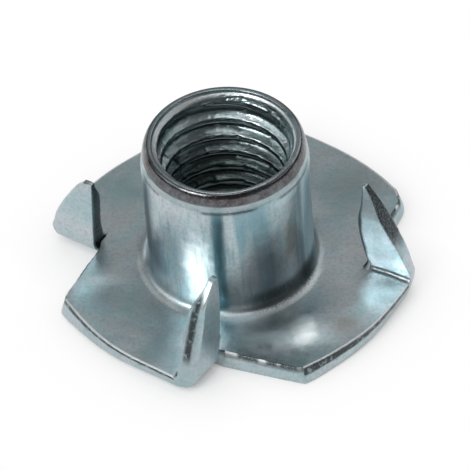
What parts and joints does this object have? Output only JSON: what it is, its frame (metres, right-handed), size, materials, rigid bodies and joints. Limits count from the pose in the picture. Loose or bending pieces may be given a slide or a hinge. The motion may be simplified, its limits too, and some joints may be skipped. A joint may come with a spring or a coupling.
{
  "type": "tee nut",
  "caption": "Pressed steel tee nut: threaded drawn barrel on a thin flange whose slit and folded prongs bite into wood.",
  "frame": {"origin": "on the barrel's axis, in the plane of the flange's underside", "axes": "+Z along the barrel's axis, from the flange's underside towards the barrel's rim; the slit blanks of the prongs are centred on +X, +Y, -X and -Y"},
  "size_m": [0.0222, 0.0222, 0.0106],
  "materials": {
    "zinc_plate": "blue-white zinc plating, semi-gloss, cloudy"
  },
  "bodies": {
    "root": {"tee_nut": "zinc_plate"}
  },
  "joints": []
}
